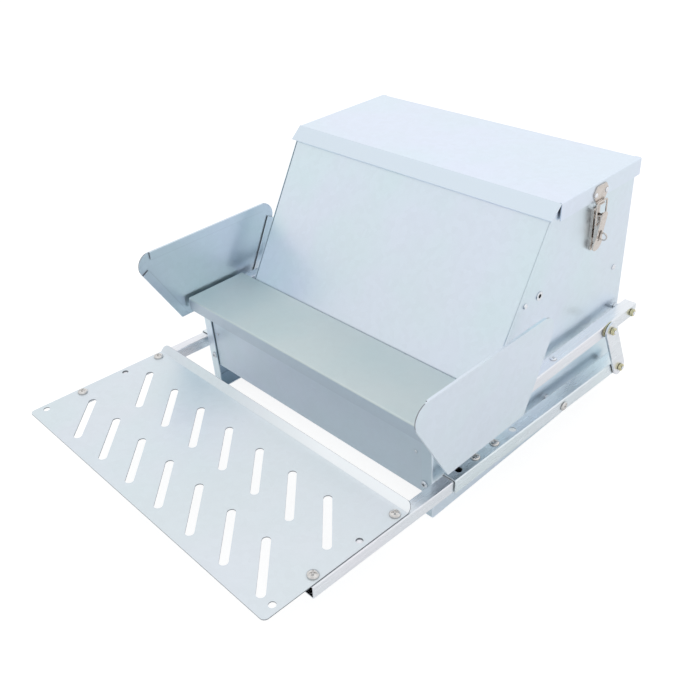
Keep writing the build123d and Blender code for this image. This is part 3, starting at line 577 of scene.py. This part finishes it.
def edge_faces():
    """Outward directions of a wing's flat sides and of its hemmed, straight edges."""
    low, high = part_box("wing_right")
    rise = high[2] - low[2]
    rear = Vector((0, rise, -REAR_RUN)).normalized()
    front = Vector((0, -rise, -FRONT_RUN)).normalized()
    return RIGHT, -RIGHT, UP, -UP, rear, front


def fold_faces(start, end, steps):
    """Directions on both sides of a sheet, from one flat side round a fold to the next."""
    outward = [start.slerp(end, i / steps) for i in range(steps + 1)]
    return outward + [-direction for direction in outward]


def square_bore(node, axis, half):
    """The square hole along both sides' tubes: an axis across it, its middle and half its width."""
    low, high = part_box(node)
    middle = (Vector(low) + Vector(high)) / 2
    return axis, axis.dot(middle), half


finishes = {
    "galvanised_sheet": galvanised("galvanised_sheet", CLOUDS),
    "treadle_zinc": brushed("treadle_zinc", TUBE_TINTS),
    "bright_zinc": plated("bright_zinc", (0.86, 0.88, 0.92), (0.60, 0.64, 0.70)),
    "yellow_zinc": plated(
        "yellow_zinc", (0.80, 0.74, 0.48), (0.36, 0.35, 0.20), roughness=0.14, patina=0.75,
    ),
    "latch_nickel": plated("latch_nickel", (0.72, 0.67, 0.63), (0.52, 0.46, 0.42), roughness=0.24),
}
screw_zinc = plated("screw_zinc", (0.74, 0.73, 0.72), (0.40, 0.38, 0.37), roughness=0.14)
special = {
    "treadle_plate": galvanised(
        "treadle_sheet", TREADLE_SHADED_CLOUDS, roughness=0.34, painted_highlight=(LIP_FACE, PAINTED_HIGHLIGHT_REACH),
        faces=fold_faces(DECK_UP, LIP_FACE, FOLD_STEPS),
    ),
    "trough_cover": galvanised("cover_sheet", COVER_SHADED_CLOUDS, roughness=0.5, painted_face_shade=(FRONT, COVER_LIP_SHADE)),
    "trough_front": galvanised("trough_sheet", TROUGH_SHADED_CLOUDS, roughness=0.36),
    "lid_shell": galvanised("lid_sheet", LID_LIT_CLOUDS, painted_face_shade=(NOSE_FACE, LID_NOSE_SHADE)),
    "plate_screws": screw_zinc,
    "trough_screws": plated("trough_zinc", (0.66, 0.71, 0.76), (0.50, 0.55, 0.60), roughness=0.3),
    # painted shade: the right panel's front-facing flange takes the darker trough colour
    "side_panel_right": galvanised("right_sheet", CLOUDS, painted_face_shade=(FRONT, TROUGH_SHADED_CLOUDS[1])),
}
# painted light: a near-white copy of the zinc plating, lighter than the other hardware, for the light the
# pivot spacers catch
lit_spacer_zinc = plated("lit_spacer_zinc", (0.97, 0.98, 1.0), (0.80, 0.84, 0.90), roughness=0.42, patina=0.4)
paired = {
    "wing": galvanised("wing_sheet", WING_SHADED_CLOUDS, faces=edge_faces()),
    "arm_tube": brushed("arm_zinc", TUBE_TINTS, bore=square_bore("arm_tube_left", DECK_UP, TUBE_BORE)),
    "lever": brushed("lever_zinc", TUBE_TINTS, bore=square_bore("lever_left", UP, LEVER_BORE)),
    "arm_sleeve": brushed("sleeve_zinc", SLEEVE_TINTS),
    "upper_pivot_spacers": lit_spacer_zinc,
    "lower_pivot_nuts": lit_spacer_zinc,
    "arm_bolts": screw_zinc,
    "lower_pivot_bolt": screw_zinc,
}
for side, _ in SIDES:
    special.update({f"{name}_{side}": finish for name, finish in paired.items()})


def finish_of(node):
    """The finish of a CAD node, or of the piece that stands for it."""
    return special.get(node, finishes[slots[node]])


def dress_nodes():
    """Give every CAD node its finish."""
    for name, obj in frame["nodes"].items():
        obj.data.materials.clear()
        obj.data.materials.append(finish_of(name))


# ---- floor and light ----
FLOOR_HALF = 6.0             # half of the floor's width


def make_floor(name, depth, paint, glow, seen):
    """A layer of the plain pale floor. One is seen directly, the other one lights the metal."""
    bm = bmesh.new()
    bmesh.ops.create_grid(bm, x_segments=2, y_segments=2, size=FLOOR_HALF)
    mesh = bpy.data.meshes.new(name)
    bm.to_mesh(mesh)
    bm.free()
    floor = bpy.data.objects.new(name, mesh)
    floor.location.z = -depth
    floor.visible_camera = seen
    floor.visible_glossy = floor.visible_diffuse = not seen
    floor.visible_shadow = False
    shader = Shader(name)
    shade = shader.spread(shader.noise(3.0), 0.3, 0.7, paint - 0.01, paint + 0.01)
    colour = shader.mix(shade, (0, 0, 0), (1, 1, 1))
    shader.bsdf.inputs["Emission Color"].default_value = (1, 1, 1, 1)
    shader.bsdf.inputs["Emission Strength"].default_value = glow
    normal = shader.bump(shader.noise(400.0), 0.02, 0.1 * MM)
    mesh.materials.append(shader.finish(colour, 0.8, normal, metallic=0.0))
    bpy.context.scene.collection.objects.link(floor)


SKY = (0.92, 1.04)           # brightness at the horizon and overhead
SKY_REAR = 0.07              # how much brighter the sky is behind the feeder, and darker in front


def make_world():
    """Plain soft studio light: a white dome, a little brighter overhead and at the rear."""
    world = bpy.data.worlds.new("world")
    world.use_nodes = True
    tree = world.node_tree
    place = tree.nodes.new("ShaderNodeTexCoord")
    split = tree.nodes.new("ShaderNodeSeparateXYZ")
    rise = tree.nodes.new("ShaderNodeMapRange")
    rise.inputs["To Min"].default_value, rise.inputs["To Max"].default_value = SKY
    rear = tree.nodes.new("ShaderNodeMath")
    rear.operation = "MULTIPLY_ADD"
    rear.inputs[1].default_value = SKY_REAR
    tree.links.new(place.outputs["Generated"], split.inputs[0])
    tree.links.new(split.outputs["Z"], rise.inputs["Value"])
    tree.links.new(split.outputs["Y"], rear.inputs[0])
    tree.links.new(rise.outputs[0], rear.inputs[2])
    tree.links.new(rear.outputs[0], tree.nodes["Background"].inputs["Strength"])
    tree.nodes["Background"].inputs["Color"].default_value = (1, 1, 1, 1)
    bpy.context.scene.world = world
    bpy.context.scene.view_settings.view_transform = "Standard"


make_camera()
dress_nodes()
make_screws("plate_screws", DECK_UP)
make_screws("lever_screws", UP)
for side, s in SIDES:
    out = Vector((s, 0, 0))
    make_screws(f"arm_bolts_{side}", DECK_UP)
    make_screws(f"catch_rivets_{side}", out, RIVET_R, recess=False)
    make_screws(f"latch_rivets_{side}", out, RIVET_R, recess=False)
    make_bolt(f"upper_pivot_bolt_{side}", out)
    make_bolt(f"push_bolt_{side}", out)
    make_bolt(f"lift_bolt_{side}", out)
    make_bolt(f"lower_pivot_bolt_{side}", out, pan_head=True)
    make_spacer(f"upper_pivot_spacers_{side}", out)
    make_spacer(f"lower_pivot_nuts_{side}", out)
    for name in ("upper_pivot_nut", "push_nut", "lift_nut"):
        make_nuts(f"{name}_{side}", out)
make_floor("floor", depth=0.2 * MM, paint=0.2, glow=0.86, seen=True)
make_floor("floor_bounce", depth=0.4 * MM, paint=0.62, glow=0.26, seen=False)
make_world()
